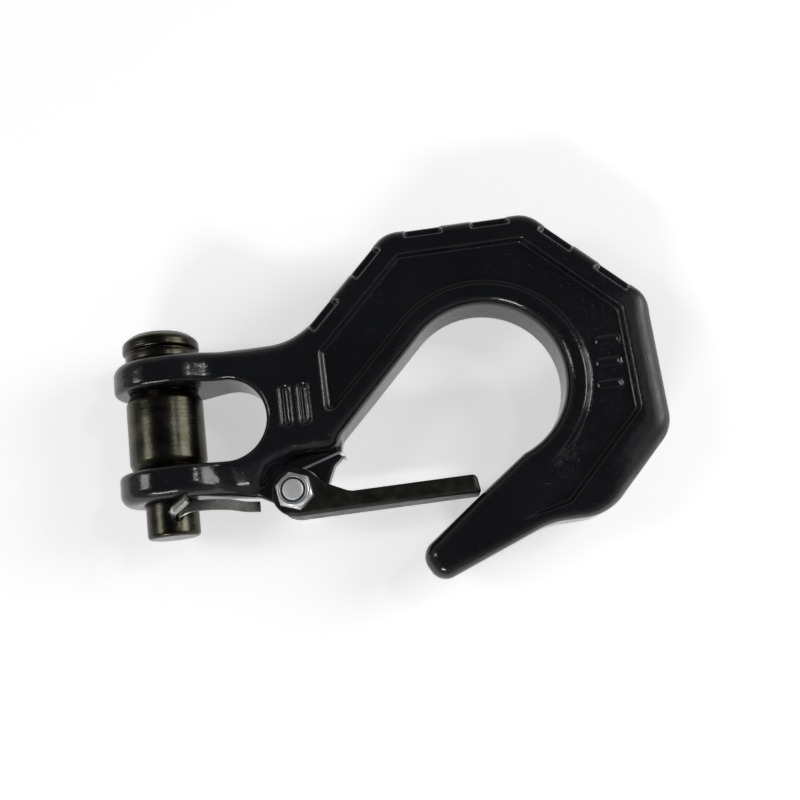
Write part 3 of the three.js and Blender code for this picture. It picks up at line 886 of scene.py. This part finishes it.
def add_paint_masks(obj):
    co = np.empty(len(obj.data.vertices) * 3, np.float32)
    obj.data.vertices.foreach_get("co", co)
    x, y, z = ((co.reshape(-1, 3) - np.array(PIN_AXIS)) / MM).T
    # The first mask lightens the paint along the edges, partly wear and partly a painted highlight; the
    # second only makes the paint rougher round the nose.
    for name, value in (("wear_and_highlight", wear_and_highlight_edges(x, y, z)), ("dull", dull_rim(x, y))):
        made = obj.data.attributes.new(name, "FLOAT", "POINT")
        made.data.foreach_set("value", value.astype(np.float32))


add_paint_masks(body)
paint_with(black_paint(), body)
paint_with(dark_steel(), pin, roller)
paint_with(phosphate(), latch)
paint_with(zinc("bright_zinc", (0.86, 0.87, 0.86), (0.62, 0.62, 0.61), 0.34), nut, *springs)
paint_with(zinc("dull_zinc", (0.92, 0.93, 0.92), (0.7, 0.7, 0.69), 0.52), bolt)
paint_with(zinc("grey_zinc", (0.5, 0.5, 0.47), (0.26, 0.26, 0.235), 0.24), cotter)
paint_with(nylon_blue(), nylon)


# ---------------------------------------------------------------- floor, light and camera
FLOOR_HALF = 3.0


def build_stage():
    """A large white floor that glows a little, so that it stays white in the picture."""
    corners = [(x * FLOOR_HALF, y * FLOOR_HALF, 0) for x, y in ((-1, -1), (1, -1), (1, 1), (-1, 1))]
    mesh = bpy.data.meshes.new("floor")
    mesh.from_pydata(corners, [], [(0, 1, 2, 3)])
    white = (1, 1, 1, 1)
    made, _, shader = material("floor_white", Roughness=0.9, Emission_Color=white, Emission_Strength=0.5)
    shader.inputs["Base Color"].default_value = (0.92, 0.92, 0.92, 1)
    mesh.materials.append(made)
    floor = bpy.data.objects.new("floor", mesh)
    bpy.context.scene.collection.objects.link(floor)


def area_light(name, place, width, height, power):
    """A rectangular light in metres and watts, aimed at the middle of the hook's base."""
    light = bpy.data.lights.new(name, "AREA")
    light.energy = power
    light.shape = "RECTANGLE"
    light.size = width
    light.size_y = height
    obj = bpy.data.objects.new(name, light)
    obj.location = place
    obj.rotation_euler = (-Vector(place)).to_track_quat("-Z", "Y").to_euler()
    bpy.context.scene.collection.objects.link(obj)


CAMERA_TILT, CAMERA_YAW, CAMERA_ROLL = 12.612 * DEGREE, 2.33 * DEGREE, 7.447 * DEGREE
CAMERA_DISTANCE = 228.95                # mm
CAMERA_TARGET = (58.948, 0.617, 0)
FOCAL_WIDTHS = 1.14475                  # focal length over the picture's width
SENSOR_WIDTH = 36


def build_camera():
    """Looks down on the hook, with Y up in the picture before the tilt, yaw and roll."""
    tilt, yaw = CAMERA_TILT, CAMERA_YAW
    toward = Vector((math.sin(yaw) * math.cos(tilt), -math.sin(tilt), math.cos(yaw) * math.cos(tilt)))
    right = Vector((0, 1, 0)).cross(toward).normalized()
    up = toward.cross(right)
    turn = Matrix.Rotation(-CAMERA_ROLL, 3, "Z")
    toward, right, up = turn @ toward, turn @ right, turn @ up
    place = Vector(to_row(CAMERA_TARGET)) + toward * CAMERA_DISTANCE * MM
    camera = bpy.data.cameras.new("camera")
    camera.sensor_width = SENSOR_WIDTH
    camera.lens = FOCAL_WIDTHS * SENSOR_WIDTH
    camera.clip_start = 0.01
    obj = bpy.data.objects.new("camera", camera)
    rotation = Matrix((right, up, toward)).transposed()
    obj.matrix_world = Matrix.Translation(place) @ rotation.to_4x4()
    bpy.context.scene.collection.objects.link(obj)
    bpy.context.scene.camera = obj


def build_world():
    """A pale room with a dark ceiling: bright near the horizon and dark overhead."""
    world = bpy.data.worlds.new("studio")
    bpy.context.scene.world = world
    world.use_nodes = True
    tree = world.node_tree
    place = node(tree, "ShaderNodeTexCoord").outputs["Generated"]
    height = node(tree, "ShaderNodeSeparateXYZ", {"Vector": place}).outputs["Z"]
    shades = [(0.0, grey(0.32)), (0.35, grey(0.34)), (0.6, grey(0.15)), (0.85, (0.055, 0.057, 0.068))]
    tree.links.new(ramp(tree, height, shades), tree.nodes["Background"].inputs["Color"])


build_stage()
build_camera()
bpy.context.scene.view_settings.view_transform = "Standard"
build_world()
area_light("right", (0.9, 0.12, 0.42), 0.5, 0.5, 4.3)
area_light("left", (-0.72, 0.1, 0.66), 0.24, 0.3, 1.3)
area_light("front", (-0.36, -0.75, 0.5), 0.3, 0.08, 2.2)
area_light("lamp", (0.52, 0.2, 0.75), 0.1, 0.1, 0.5)
